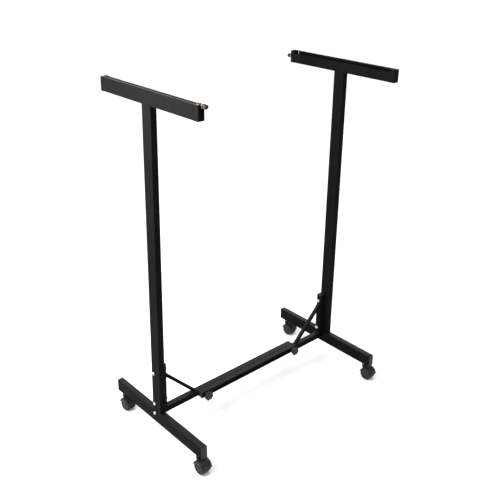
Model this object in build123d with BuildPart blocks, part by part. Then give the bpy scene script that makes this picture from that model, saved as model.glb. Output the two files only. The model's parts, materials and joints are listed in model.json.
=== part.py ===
"""Background support stand: two T frames on casters, joined by a sliding crossbar.

Millimetres, +Z up, +X from the left frame to the right one. The origin is on the floor,
midway between the two frames. Every piece is its own solid or group of like solids.
"""
import os

from build123d import *

# ---- whole stand -----------------------------------------------------------
FRAME_SPACING = 905.0
FRAME_SHIFT = 12.5
TUBE_WIDTH = 25.0
TUBE_DEPTH = 50.0
WALL = 1.5
TUBE_ROUND = 2.0
SLIDE_GAP = 0.15
TOUCH_GAP = 0.1

# ---- heights ---------------------------------------------------------------
FOOT_BOTTOM = 66.0
FOOT_TOP = FOOT_BOTTOM + TUBE_DEPTH
RAIL_BOTTOM = 1306.0
RAIL_HEIGHT = 50.0
RAIL_TOP = RAIL_BOTTOM + RAIL_HEIGHT

# ---- feet and uprights -----------------------------------------------------
FOOT_LENGTH = 545.0
CAP_FLANGE = 2.0
CAP_PLUG = 12.0
CAP_ROUND = 1.2

# ---- top rails -------------------------------------------------------------
RAIL_LENGTH = 540.0
BLOCK_LENGTH = 22.0
BLOCK_ROUND = 2.5
STUB_LENGTH = 12.0
STUB_HEIGHT = 17.0
RAIL_INNER_HEIGHT = 38.5
RAIL_FLANGE = 10.1
RAIL_LIP = 4.1
NOTCH_WIDTH = 2.5
NOTCH_DEPTH = 20.0

# ---- clamp rod in each rail ------------------------------------------------
CLAMP_OFFSET = 3.0
CLAMP_DROP = 3.0
CLAMP_TRAVEL = 22.0
CLAMP_TUBE_D = 10.0
CLAMP_CORE_D = 6.0
BUSH_D = 13.5
POCKET_WIDTH = 14.1
POCKET_KNOB_END = 14.0
POCKET_BLIND_END = 19.0
CORE_SLOT = 6.8
SPACER_D = 14.0
SPACER_LENGTH = 2.0
RING_D = 15.0
RING_LENGTH = 3.0
GRIP_D = 16.5
GRIP_LENGTH = 16.0
GRIP_FLATS = 8

# ---- posts, half bars and braces -------------------------------------------
POST_SIZE = 25.0
POST_BOTTOM = FOOT_BOTTOM + 25.0
POST_TOP = FOOT_BOTTOM + 243.0
BAR_SIZE = 25.0
BAR_END = 265.0
BRACE_SIZE = 13.0
BRACE_LEG = 150.0
BRACE_WALL = 1.2

# ---- through bolts ---------------------------------------------------------
BOLT_D = 8.0
BOLT_HOLE = 8.4
BOLT_LENGTH = 60.0
BOLT_HEAD_D = 12.5
BOLT_HEAD_H = 4.5
NUT_AF = 13.0
NUT_H = 6.5
BOLT_HEIGHTS = (FOOT_BOTTOM + 37.5, FOOT_BOTTOM + 80.0, FOOT_BOTTOM + 215.0)

# ---- crossbar locks --------------------------------------------------------
LOCK_X = 243.0
BAR_TRAVEL = 440.0
LOCK_SLOT = 8.8
KNOB_D = 38.0
KNOB_H = 14.0
KNOB_HUB_D = 18.0
KNOB_HUB_H = 10.0
KNOB_LOBES = 7
KNOB_BORE = 8.1
KNOB_BORE_DEPTH = 16.0
FACE_GAP = 0.3

# ---- casters ---------------------------------------------------------------
CASTER_Y = 240.0
CASTER_TRAIL = 20.0
STEM_D = 10.0
STEM_UP = 22.0
STEM_HEX = 17.0
STEM_FLANGE_H = 3.0
PIN_D = 8.0
PIN_LENGTH = 16.0
PIN_BORE = 8.1
WHEEL_D = 50.0
WHEEL_WIDTH = 16.5
WHEEL_GAP = 0.4
WHEEL_CLEAR = 0.8
WEB_THICK = 7.0
WEB_RADIUS = 19.0
AXLE_D = 6.0
AXLE_BORE = 6.1
HOOD_INNER = 27.2
HOOD_OUTER = 29.4
HOOD_WIDTH = 44.0
BOSS_D = 22.0

LEFT = -1
RIGHT = 1

os.makedirs("parts", exist_ok=True)


def frame_x(side):
    """Return the X of a frame's middle plane."""
    return side * FRAME_SPACING / 2


def frame_y(side):
    """Return the Y of a frame's middle plane; the frames are staggered by one bar."""
    return -side * FRAME_SHIFT


def post_y(side):
    """Return the Y of the middle of a frame's post, on the far half of the upright."""
    return frame_y(side) + POST_SIZE / 2


def inward(side, distance):
    """Return the X of a point this far from a frame's middle plane, toward the other."""
    return frame_x(side) - side * distance


def save(piece, label):
    """Name one piece and write it to its own file."""
    piece.part.label = label
    export_step(piece.part, f"parts/{label}.step")


# ---- feet ------------------------------------------------------------------
def make_foot(side, name):
    """Build the foot tube with its stem holes and bolt hole."""
    middle = FOOT_BOTTOM + TUBE_DEPTH / 2
    length = FOOT_LENGTH - 2 * CAP_FLANGE
    with BuildPart() as foot:
        with Locations((frame_x(side), frame_y(side), middle)):
            Box(TUBE_WIDTH, length, TUBE_DEPTH)
            fillet(foot.edges().filter_by(Axis.Y), TUBE_ROUND)
            Box(TUBE_WIDTH - 2 * WALL, length, TUBE_DEPTH - 2 * WALL, mode=Mode.SUBTRACT)
        for end in (LEFT, RIGHT):
            with Locations((frame_x(side), frame_y(side) + end * CASTER_Y, FOOT_BOTTOM)):
                Cylinder(STEM_D / 2 + TOUCH_GAP, 4 * WALL, mode=Mode.SUBTRACT)
        with Locations((frame_x(side), post_y(side), BOLT_HEIGHTS[0])):
            Cylinder(BOLT_HOLE / 2, 2 * TUBE_WIDTH, rotation=(0, 90, 0), mode=Mode.SUBTRACT)
    save(foot, f"{name}_foot")


def make_foot_caps(side, name):
    """Build the two plug caps that close the foot."""
    middle = FOOT_BOTTOM + TUBE_DEPTH / 2
    inner_x = TUBE_WIDTH - 2 * WALL - TOUCH_GAP
    inner_z = TUBE_DEPTH - 2 * WALL - TOUCH_GAP
    with BuildPart() as caps:
        for end in (LEFT, RIGHT):
            face = frame_y(side) + end * (FOOT_LENGTH - CAP_FLANGE) / 2
            with Locations((frame_x(side), face, middle)):
                Box(TUBE_WIDTH, CAP_FLANGE, TUBE_DEPTH)
            plug = face - end * (CAP_FLANGE + CAP_PLUG) / 2
            with Locations((frame_x(side), plug, middle)):
                Box(inner_x, CAP_PLUG, inner_z)
        outer = caps.faces().sort_by(Axis.Y)
        fillet(outer[0].edges(), CAP_ROUND)
        outer = caps.faces().sort_by(Axis.Y)
        fillet(outer[-1].edges(), CAP_ROUND)
    save(caps, f"{name}_foot_caps")


# ---- uprights --------------------------------------------------------------
def make_upright(side, name):
    """Build the upright tube that stands on the foot and carries the rail."""
    height = RAIL_BOTTOM - FOOT_TOP
    with BuildPart() as upright:
        with Locations((frame_x(side), frame_y(side), FOOT_TOP + height / 2)):
            Box(TUBE_WIDTH, TUBE_DEPTH, height)
            fillet(upright.edges().filter_by(Axis.Z), TUBE_ROUND)
            Box(TUBE_WIDTH - 2 * WALL, TUBE_DEPTH - 2 * WALL, height, mode=Mode.SUBTRACT)
        for level in BOLT_HEIGHTS[1:]:
            with Locations((frame_x(side), post_y(side), level)):
                Cylinder(BOLT_HOLE / 2, 2 * TUBE_WIDTH, rotation=(0, 90, 0), mode=Mode.SUBTRACT)
    save(upright, f"{name}_upright")


# ---- rails -----------------------------------------------------------------
def rail_outline(side):
    """Return the folded rail's profile as X and Z points, outer wall first."""
    half = TUBE_WIDTH / 2
    profile = (
        (-half, 0.0),
        (half, 0.0),
        (half, RAIL_INNER_HEIGHT),
        (half - RAIL_LIP, RAIL_INNER_HEIGHT),
        (half - RAIL_LIP, RAIL_INNER_HEIGHT - WALL),
        (half - WALL, RAIL_INNER_HEIGHT - WALL),
        (half - WALL, WALL),
        (-half + WALL, WALL),
        (-half + WALL, RAIL_HEIGHT - WALL),
        (-half + RAIL_FLANGE, RAIL_HEIGHT - WALL),
        (-half + RAIL_FLANGE, RAIL_HEIGHT),
        (-half, RAIL_HEIGHT),
    )
    return [(inward(side, across), RAIL_BOTTOM + up) for across, up in profile]


def make_rail(side, name):
    """Build the folded steel rail with its open slot and the notch at each end."""
    length = RAIL_LENGTH - 2 * BLOCK_LENGTH
    with BuildPart() as rail:
        with BuildSketch(Plane.XZ.offset(-frame_y(side))):
            with BuildLine():
                Polyline(*rail_outline(side), close=True)
            make_face()
        extrude(amount=length / 2, both=True)
        corner = rail.edges().filter_by(Axis.Y).group_by(Axis.Z)
        fillet(corner[0], WALL)
        outside = rail.edges().filter_by(Axis.Y).group_by(Axis.Z)[-1].sort_by(Axis.X)
        fillet(outside[0] if side == LEFT else outside[-1], WALL * 0.8)
        for end in (LEFT, RIGHT):
            middle = frame_y(side) + end * (length - NOTCH_WIDTH) / 2
            outer = inward(side, (RAIL_FLANGE - TUBE_WIDTH) / 2)
            with Locations((outer, middle, RAIL_TOP - NOTCH_DEPTH / 2)):
                Box(RAIL_FLANGE + 1, NOTCH_WIDTH, NOTCH_DEPTH + 1, mode=Mode.SUBTRACT)
    save(rail, f"{name}_rail")


def make_rail_blocks(side, name):
    """Build the end blocks: a pocket for each bush, and a slot for the rod at one end."""
    inner = RAIL_LENGTH / 2 - BLOCK_LENGTH
    lowest = CLAMP_DROP + CLAMP_TRAVEL
    pocket_depth = lowest + POCKET_WIDTH / 2
    slot_depth = lowest + CORE_SLOT / 2
    with BuildPart() as blocks:
        for end in (LEFT, RIGHT):
            middle = frame_y(side) + end * (inner + BLOCK_LENGTH / 2)
            with Locations((frame_x(side), middle, RAIL_BOTTOM + RAIL_HEIGHT / 2)):
                Box(TUBE_WIDTH, BLOCK_LENGTH, RAIL_HEIGHT)
        for end in (LEFT, RIGHT):
            side_face = blocks.faces().sort_by(Axis.Y)[0 if end == LEFT else -1]
            fillet(side_face.edges(), BLOCK_ROUND)
        for end in (LEFT, RIGHT):
            stub = frame_y(side) + end * (inner - STUB_LENGTH / 2)
            level = RAIL_BOTTOM + WALL + TOUCH_GAP + STUB_HEIGHT / 2
            with Locations((frame_x(side), stub, level)):
                Box(TUBE_WIDTH - 2 * WALL - 2 * TOUCH_GAP, STUB_LENGTH, STUB_HEIGHT)
            pocket = POCKET_KNOB_END if end == side else POCKET_BLIND_END
            middle = frame_y(side) + end * (inner + pocket / 2)
            with Locations((inward(side, CLAMP_OFFSET), middle, RAIL_TOP - pocket_depth / 2)):
                Box(POCKET_WIDTH, pocket, pocket_depth, mode=Mode.SUBTRACT)
        middle = frame_y(side) + side * (inner + BLOCK_LENGTH)
        with Locations((inward(side, CLAMP_OFFSET), middle, RAIL_TOP - slot_depth / 2)):
            Box(CORE_SLOT, BLOCK_LENGTH, slot_depth, mode=Mode.SUBTRACT)
    save(blocks, f"{name}_rail_blocks")


# ---- clamp rods ------------------------------------------------------------
def clamp_level(side):
    """Return the height of the rod's axis: raised on the left, lowered on the right."""
    raised = RAIL_TOP - CLAMP_DROP
    return raised if side == LEFT else raised - CLAMP_TRAVEL


def clamp_point(side, along):
    """Return a point on the rod's axis; along counts outward from the rail's middle."""
    return (inward(side, CLAMP_OFFSET), frame_y(side) + side * along, clamp_level(side))


def make_clamp_tube(side, name):
    """Build the painted tube that runs the length of the rail's slot."""
    length = RAIL_LENGTH - 2 * BLOCK_LENGTH + 2 * FACE_GAP
    with BuildPart() as tube:
        with Locations(clamp_point(side, 0)):
            Cylinder(CLAMP_TUBE_D / 2, length, rotation=(90, 0, 0))
            Cylinder(CLAMP_CORE_D / 2 + 1, length, rotation=(90, 0, 0), mode=Mode.SUBTRACT)
    save(tube, f"{name}_clamp_tube")


def make_clamp_bushes(side, name):
    """Build the bare steel bush at each end of the tube, and the shoulder outside."""
    start = RAIL_LENGTH / 2 - BLOCK_LENGTH + FACE_GAP
    length = POCKET_KNOB_END - 2 * FACE_GAP
    with BuildPart() as bushes:
        for end in (LEFT, RIGHT):
            with Locations(clamp_point(side, end * (start + length / 2))):
                Cylinder(BUSH_D / 2, length, rotation=(90, 0, 0))
        chamfer(bushes.edges().filter_by(GeomType.CIRCLE), 0.6)
        with Locations(clamp_point(side, clamp_outer() - SPACER_LENGTH / 2)):
            Cylinder(SPACER_D / 2, SPACER_LENGTH, rotation=(90, 0, 0))
        with Locations(clamp_point(side, 0)):
            Cylinder(CLAMP_CORE_D / 2 + 0.2, 2 * RAIL_LENGTH, rotation=(90, 0, 0), mode=Mode.SUBTRACT)
    save(bushes, f"{name}_clamp_bushes")


def clamp_outer():
    """Return the distance along the rod at which the shoulder ends."""
    return RAIL_LENGTH / 2 + FACE_GAP + SPACER_LENGTH


def make_clamp_core(side, name):
    """Build the thin rod that ties the tube, bushes and grip together."""
    near = clamp_outer() + RING_LENGTH + GRIP_LENGTH * 0.7
    far = RAIL_LENGTH / 2 - BLOCK_LENGTH + POCKET_KNOB_END + 1
    with BuildPart() as core:
        with Locations(clamp_point(side, (near - far) / 2)):
            Cylinder(CLAMP_CORE_D / 2, near + far, rotation=(90, 0, 0))
        chamfer(core.edges().sort_by(Axis.Y)[0], 0.6)
        chamfer(core.edges().sort_by(Axis.Y)[-1], 0.6)
    save(core, f"{name}_clamp_core")


def make_clamp_ring(side, name):
    """Build the yellow ring between the shoulder and the grip."""
    with BuildPart() as ring:
        with Locations(clamp_point(side, clamp_outer() + RING_LENGTH / 2)):
            Cylinder(RING_D / 2, RING_LENGTH, rotation=(90, 0, 0))
            Cylinder(CLAMP_CORE_D / 2 + 0.2, RING_LENGTH, rotation=(90, 0, 0), mode=Mode.SUBTRACT)
        chamfer(ring.edges().filter_by(GeomType.CIRCLE).group_by(SortBy.RADIUS)[-1], 0.5)
    save(ring, f"{name}_clamp_ring")


def make_clamp_grip(side, name):
    """Build the fluted black grip that locks the rod."""
    start = clamp_outer() + RING_LENGTH + FACE_GAP
    with BuildPart() as grip:
        with Locations(clamp_point(side, start + GRIP_LENGTH / 2)):
            Cylinder(GRIP_D / 2, GRIP_LENGTH, rotation=(90, 0, 0))
        fillet(grip.edges().filter_by(GeomType.CIRCLE), 1.5)
        centre = clamp_point(side, start + GRIP_LENGTH / 2)
        with Locations(Location(centre, (90, 0, 0))):
            with PolarLocations(GRIP_D / 2 + 1.0, GRIP_FLATS):
                Cylinder(2.0, GRIP_LENGTH + 1, mode=Mode.SUBTRACT)
        depth = GRIP_LENGTH * 0.75
        with Locations(clamp_point(side, start + depth / 2)):
            Cylinder(CLAMP_CORE_D / 2 + 0.05, depth, rotation=(90, 0, 0), mode=Mode.SUBTRACT)
    save(grip, f"{name}_clamp_grip")


# ---- posts and braces ------------------------------------------------------
def make_post(side, name):
    """Build the short post bolted to the upright and the foot."""
    height = POST_TOP - POST_BOTTOM - 2 * CAP_FLANGE
    middle = (POST_TOP + POST_BOTTOM) / 2
    centre_x = inward(side, (TUBE_WIDTH + POST_SIZE) / 2)
    with BuildPart() as post:
        with Locations((centre_x, post_y(side), middle)):
            Box(POST_SIZE, POST_SIZE, height)
            fillet(post.edges().filter_by(Axis.Z), TUBE_ROUND)
            Box(POST_SIZE - 2 * WALL, POST_SIZE - 2 * WALL, height, mode=Mode.SUBTRACT)
        for level in BOLT_HEIGHTS:
            with Locations((centre_x, post_y(side), level)):
                Cylinder(BOLT_HOLE / 2, 2 * POST_SIZE, rotation=(0, 90, 0), mode=Mode.SUBTRACT)
    save(post, f"{name}_post")


def make_post_caps(side, name):
    """Build the plug caps in the top and bottom of the post."""
    centre_x = inward(side, (TUBE_WIDTH + POST_SIZE) / 2)
    plug = POST_SIZE - 2 * WALL - TOUCH_GAP
    plug_height = CAP_PLUG / 2
    with BuildPart() as caps:
        for level, way in ((POST_BOTTOM, 1), (POST_TOP, -1)):
            with Locations((centre_x, post_y(side), level + way * CAP_FLANGE / 2)):
                Box(POST_SIZE, POST_SIZE, CAP_FLANGE)
            with Locations((centre_x, post_y(side), level + way * (CAP_FLANGE + plug_height / 2))):
                Box(plug, plug, plug_height)
        fillet(caps.faces().sort_by(Axis.Z)[-1].edges(), CAP_ROUND)
        fillet(caps.faces().sort_by(Axis.Z)[0].edges(), CAP_ROUND)
    save(caps, f"{name}_post_caps")


def make_brace(side, name):
    """Build the square brace tube between the post and the half bar."""
    reach = TUBE_WIDTH / 2 + POST_SIZE
    drop = BRACE_SIZE * 2 ** 0.5
    wall_drop = BRACE_WALL * 2 ** 0.5
    outer = (
        (inward(side, reach), FOOT_TOP + BRACE_LEG),
        (inward(side, reach + BRACE_LEG), FOOT_TOP),
        (inward(side, reach + BRACE_LEG - drop), FOOT_TOP),
        (inward(side, reach), FOOT_TOP + BRACE_LEG - drop),
    )
    inner = (
        (inward(side, reach), FOOT_TOP + BRACE_LEG - wall_drop),
        (inward(side, reach + BRACE_LEG - wall_drop), FOOT_TOP),
        (inward(side, reach + BRACE_LEG - drop + wall_drop), FOOT_TOP),
        (inward(side, reach), FOOT_TOP + BRACE_LEG - drop + wall_drop),
    )
    with BuildPart() as brace:
        with BuildSketch(Plane.XZ.offset(-post_y(side))):
            with BuildLine():
                Polyline(*outer, close=True)
            make_face()
        extrude(amount=BRACE_SIZE / 2, both=True)
        with BuildSketch(Plane.XZ.offset(-post_y(side))):
            with BuildLine():
                Polyline(*inner, close=True)
            make_face()
        extrude(amount=BRACE_SIZE / 2 - BRACE_WALL, both=True, mode=Mode.SUBTRACT)
    save(brace, f"{name}_brace")


# ---- half bars -------------------------------------------------------------
def bar_y(side):
    """Return the Y of a half bar's middle, clear of its neighbour by the slide gap."""
    return post_y(side) - side * SLIDE_GAP


def make_half_bar(side, name):
    """Build one half of the crossbar, with its lock hole and the slot for the other lock."""
    root = inward(side, TUBE_WIDTH / 2 + POST_SIZE)
    tip = -side * (BAR_END - CAP_FLANGE)
    level = FOOT_TOP - BAR_SIZE / 2
    slot_from = side * LOCK_X
    slot_to = side * (LOCK_X - BAR_TRAVEL)
    with BuildPart() as bar:
        with Locations(((root + tip) / 2, bar_y(side), level)):
            Box(abs(root - tip), BAR_SIZE, BAR_SIZE)
            fillet(bar.edges().filter_by(Axis.X), TUBE_ROUND)
            Box(abs(root - tip), BAR_SIZE - 2 * WALL, BAR_SIZE - 2 * WALL, mode=Mode.SUBTRACT)
        with BuildSketch(Plane.XZ.offset(-bar_y(side))):
            with Locations(((slot_from + slot_to) / 2, level)):
                SlotCenterToCenter(BAR_TRAVEL, LOCK_SLOT)
            with Locations((-side * LOCK_X, level)):
                Circle(BOLT_D / 2)
        extrude(amount=BAR_SIZE, both=True, mode=Mode.SUBTRACT)
    save(bar, f"{name}_half_bar")


def make_bar_cap(side, name):
    """Build the plug cap in the free end of a half bar."""
    level = FOOT_TOP - BAR_SIZE / 2
    plug = BAR_SIZE - 2 * WALL - TOUCH_GAP
    plug_length = CAP_PLUG / 2
    tip = -side * BAR_END
    with BuildPart() as cap:
        with Locations((tip + side * CAP_FLANGE / 2, bar_y(side), level)):
            Box(CAP_FLANGE, BAR_SIZE, BAR_SIZE)
        with Locations((tip + side * (CAP_FLANGE + plug_length / 2), bar_y(side), level)):
            Box(plug_length, plug, plug)
        fillet(cap.faces().sort_by(Axis.X)[0 if side == RIGHT else -1].edges(), CAP_ROUND)
    save(cap, f"{name}_bar_cap")


# ---- through bolts ---------------------------------------------------------
def make_bolts(side, name):
    """Build the three through bolts with domed flange heads on the outer face."""
    outer = inward(side, -TUBE_WIDTH / 2)
    with BuildPart() as bolts:
        for level in BOLT_HEIGHTS:
            with Locations((outer - side * BOLT_LENGTH / 2, post_y(side), level)):
                Cylinder(BOLT_D / 2, BOLT_LENGTH, rotation=(0, 90, 0))
            with Locations((outer + side * BOLT_HEAD_H / 2, post_y(side), level)):
                Cylinder(BOLT_HEAD_D / 2, BOLT_HEAD_H, rotation=(0, 90, 0))
        rims = bolts.edges().filter_by(GeomType.CIRCLE).group_by(Axis.X)
        fillet(rims[0] if side == LEFT else rims[-1], BOLT_HEAD_H * 0.6)
    save(bolts, f"{name}_bolts")


def make_nuts(side, name):
    """Build the three hexagon nuts on the inner face of the post."""
    seat = inward(side, TUBE_WIDTH / 2 + POST_SIZE)
    with BuildPart() as nuts:
        with BuildSketch(Plane.YZ.offset(seat)):
            for level in BOLT_HEIGHTS:
                with Locations((post_y(side), level)):
                    RegularPolygon(NUT_AF / 2, 6, major_radius=False)
            for level in BOLT_HEIGHTS:
                with Locations((post_y(side), level)):
                    Circle(BOLT_D / 2, mode=Mode.SUBTRACT)
        extrude(amount=-side * NUT_H)
    save(nuts, f"{name}_nuts")


# ---- crossbar locks --------------------------------------------------------
def lock_x(side):
    """Return the X of the lock carried by this frame's half bar."""
    return -side * LOCK_X


def front_face():
    """Return the Y of the crossbar's near face."""
    return bar_y(RIGHT) - BAR_SIZE / 2


def back_face():
    """Return the Y of the crossbar's far face."""
    return bar_y(LEFT) + BAR_SIZE / 2


def make_lock_bolt(side, name):
    """Build the cross bolt that ties the two half bars together."""
    level = FOOT_TOP - BAR_SIZE / 2
    start = front_face() - FACE_GAP - KNOB_BORE_DEPTH + 1
    stop = back_face() + FACE_GAP
    with BuildPart() as bolt:
        with BuildSketch(Plane.XZ.offset(-stop)):
            with Locations((lock_x(side), level)):
                Circle(BOLT_D / 2)
        extrude(amount=stop - start)
        with BuildSketch(Plane.XZ.offset(-stop)):
            with Locations((lock_x(side), level)):
                RegularPolygon(NUT_AF / 2, 6, major_radius=False)
        extrude(amount=-BOLT_HEAD_H)
    save(bolt, f"{name}_lock_bolt")


def make_lock_knob(side, name):
    """Build the lobed hand knob on the near side of the crossbar."""
    level = FOOT_TOP - BAR_SIZE / 2
    face = front_face() - FACE_GAP
    with BuildPart() as knob:
        with BuildSketch(Plane.XZ.offset(-face)):
            with Locations((lock_x(side), level)):
                Circle(KNOB_HUB_D / 2)
        extrude(amount=KNOB_HUB_H)
        with BuildSketch(Plane.XZ.offset(-face + KNOB_HUB_H)):
            with Locations((lock_x(side), level)):
                Circle(KNOB_D / 2 - 2)
                with PolarLocations(KNOB_D / 2 - 4.5, KNOB_LOBES):
                    Circle(4.5)
        extrude(amount=KNOB_H)
        fillet(knob.faces().sort_by(Axis.Y)[0].edges(), 1.5)
        with BuildSketch(Plane.XZ.offset(-face)):
            with Locations((lock_x(side), level)):
                Circle(KNOB_BORE / 2)
        extrude(amount=KNOB_BORE_DEPTH, mode=Mode.SUBTRACT)
    save(knob, f"{name}_lock_knob")


# ---- casters ---------------------------------------------------------------
def make_stems(side, name):
    """Build the two caster stems: threaded upper part, hexagon flange, swivel pin."""
    spots = [(frame_x(side), frame_y(side) + end * CASTER_Y) for end in (LEFT, RIGHT)]
    flange_bottom = FOOT_BOTTOM - STEM_FLANGE_H
    with BuildPart() as stems:
        with BuildSketch(Plane.XY.offset(flange_bottom)):
            with Locations(*spots):
                RegularPolygon(STEM_HEX / 2, 6, major_radius=False)
        extrude(amount=STEM_FLANGE_H)
        with BuildSketch(Plane.XY.offset(FOOT_BOTTOM)):
            with Locations(*spots):
                Circle(STEM_D / 2)
        extrude(amount=STEM_UP)
        with BuildSketch(Plane.XY.offset(flange_bottom)):
            with Locations(*spots):
                Circle(PIN_D / 2)
        extrude(amount=-PIN_LENGTH)
    save(stems, f"{name}_caster_stems")


def make_hood(side, end, name):
    """Build the swivelling hood: bearing boss, web between the wheels and fender."""
    x = frame_x(side)
    stem_y = frame_y(side) + end * CASTER_Y
    axle_y = stem_y - CASTER_TRAIL
    axle_z = WHEEL_D / 2
    top = FOOT_BOTTOM - STEM_FLANGE_H - FACE_GAP
    boss_height = PIN_LENGTH + 3
    with BuildPart() as hood:
        with BuildSketch(Plane.YZ.offset(x)):
            with Locations((axle_y, axle_z)):
                Circle(HOOD_OUTER)
            with Locations((axle_y, axle_z)):
                Circle(HOOD_INNER, mode=Mode.SUBTRACT)
            with Locations((axle_y - HOOD_OUTER / 2, axle_z - HOOD_OUTER)):
                Rectangle(3 * HOOD_OUTER, 2 * HOOD_OUTER - 4, mode=Mode.SUBTRACT)
        extrude(amount=HOOD_WIDTH / 2, both=True)
        with BuildSketch(Plane.YZ.offset(x)):
            with Locations((axle_y, axle_z)):
                Circle(WEB_RADIUS)
            with Locations((axle_y + 2, axle_z + HOOD_INNER / 2)):
                Rectangle(WEB_RADIUS * 1.6, HOOD_INNER + 1)
        extrude(amount=WEB_THICK / 2, both=True)
        with Locations((x, stem_y, top - boss_height / 2)):
            Cylinder(BOSS_D / 2, boss_height)
        with Locations((x, stem_y, top - PIN_LENGTH / 2)):
            Cylinder(PIN_BORE / 2, PIN_LENGTH + 1, mode=Mode.SUBTRACT)
        for way in (LEFT, RIGHT):
            wheel_x = x + way * (WEB_THICK / 2 + WHEEL_WIDTH)
            with Locations((wheel_x, axle_y, axle_z)):
                Cylinder(WHEEL_D / 2 + WHEEL_CLEAR, 2 * WHEEL_WIDTH, rotation=(0, 90, 0), mode=Mode.SUBTRACT)
        with Locations((x, axle_y, axle_z)):
            Cylinder(AXLE_D / 2, WEB_THICK + 1, rotation=(0, 90, 0), mode=Mode.SUBTRACT)
    save(hood, f"{name}_hood")


def make_axle(side, end, name):
    """Build the steel axle that carries both wheels."""
    centre = (frame_x(side), frame_y(side) + end * CASTER_Y - CASTER_TRAIL, WHEEL_D / 2)
    length = WEB_THICK + 2 * (WHEEL_GAP + WHEEL_WIDTH) - 2
    with BuildPart() as axle:
        with Locations(centre):
            Cylinder(AXLE_D / 2, length, rotation=(0, 90, 0))
        chamfer(axle.edges(), 0.5)
    save(axle, f"{name}_axle")


def make_wheel(side, end, way, name):
    """Build one of the twin wheels with a rounded tread and a dished outer face."""
    inner = frame_x(side) + way * (WEB_THICK / 2 + WHEEL_GAP)
    axle_y = frame_y(side) + end * CASTER_Y - CASTER_TRAIL
    centre = (axle_y, WHEEL_D / 2)
    with BuildPart() as wheel:
        with BuildSketch(Plane.YZ.offset(inner)):
            with Locations(centre):
                Circle(WHEEL_D / 2)
        extrude(amount=way * WHEEL_WIDTH)
        fillet(wheel.edges(), 2.5)
        with BuildSketch(Plane.YZ.offset(inner + way * WHEEL_WIDTH)):
            with Locations(centre):
                Circle(WHEEL_D / 2 - 5)
                Circle(7, mode=Mode.SUBTRACT)
        extrude(amount=-way * 2.5, mode=Mode.SUBTRACT)
        with BuildSketch(Plane.YZ.offset(inner)):
            with Locations(centre):
                Circle(AXLE_BORE / 2)
        extrude(amount=way * (WHEEL_WIDTH - 0.8), mode=Mode.SUBTRACT)
    save(wheel, name)


# ---- build all -------------------------------------------------------------
for side, name in ((LEFT, "left"), (RIGHT, "right")):
    make_foot(side, name)
    make_foot_caps(side, name)
    make_upright(side, name)
    make_rail(side, name)
    make_rail_blocks(side, name)
    make_clamp_tube(side, name)
    make_clamp_bushes(side, name)
    make_clamp_core(side, name)
    make_clamp_ring(side, name)
    make_clamp_grip(side, name)
    make_post(side, name)
    make_post_caps(side, name)
    make_brace(side, name)
    make_half_bar(side, name)
    make_bar_cap(side, name)
    make_bolts(side, name)
    make_nuts(side, name)
    make_lock_bolt(side, name)
    make_lock_knob(side, name)
    make_stems(side, name)
    for end, place in ((LEFT, "near"), (RIGHT, "far")):
        make_hood(side, end, f"{name}_{place}")
        make_axle(side, end, f"{name}_{place}")
        make_wheel(side, end, LEFT, f"{name}_{place}_wheel_a")
        make_wheel(side, end, RIGHT, f"{name}_{place}_wheel_b")
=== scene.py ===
import json
import logging
import math
from dataclasses import dataclass
from enum import Enum
from typing import Any, Callable, Optional, Sequence, Union

import bmesh
import bpy
import numpy as np
from mathutils import Matrix, Vector

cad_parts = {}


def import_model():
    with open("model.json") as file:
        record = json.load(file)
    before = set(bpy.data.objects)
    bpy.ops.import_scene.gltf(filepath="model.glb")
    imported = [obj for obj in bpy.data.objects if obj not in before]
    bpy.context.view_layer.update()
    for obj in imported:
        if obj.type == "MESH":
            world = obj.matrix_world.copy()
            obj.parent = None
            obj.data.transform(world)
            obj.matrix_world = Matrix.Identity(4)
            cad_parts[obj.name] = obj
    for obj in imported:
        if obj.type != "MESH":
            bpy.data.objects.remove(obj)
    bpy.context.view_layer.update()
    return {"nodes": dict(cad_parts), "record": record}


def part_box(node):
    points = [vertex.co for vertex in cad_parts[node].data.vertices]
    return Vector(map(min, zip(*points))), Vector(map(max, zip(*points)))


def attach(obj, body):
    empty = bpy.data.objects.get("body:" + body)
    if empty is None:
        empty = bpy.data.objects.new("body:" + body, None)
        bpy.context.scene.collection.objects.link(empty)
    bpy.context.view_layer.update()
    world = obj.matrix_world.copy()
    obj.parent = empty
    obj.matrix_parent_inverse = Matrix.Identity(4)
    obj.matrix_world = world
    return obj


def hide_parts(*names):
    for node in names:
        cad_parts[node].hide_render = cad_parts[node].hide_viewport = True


LOG = logging.getLogger("stand")
MM = 0.001
SMOOTH_ANGLE = math.radians(32)
MERGE_DISTANCE = 1e-6
SIDES = (("left", -1), ("right", 1))
PLACES = (("near", -1), ("far", 1))

Term = Union["Value", int, float]
Triple = tuple[float, float, float]
Colour = Triple


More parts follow.
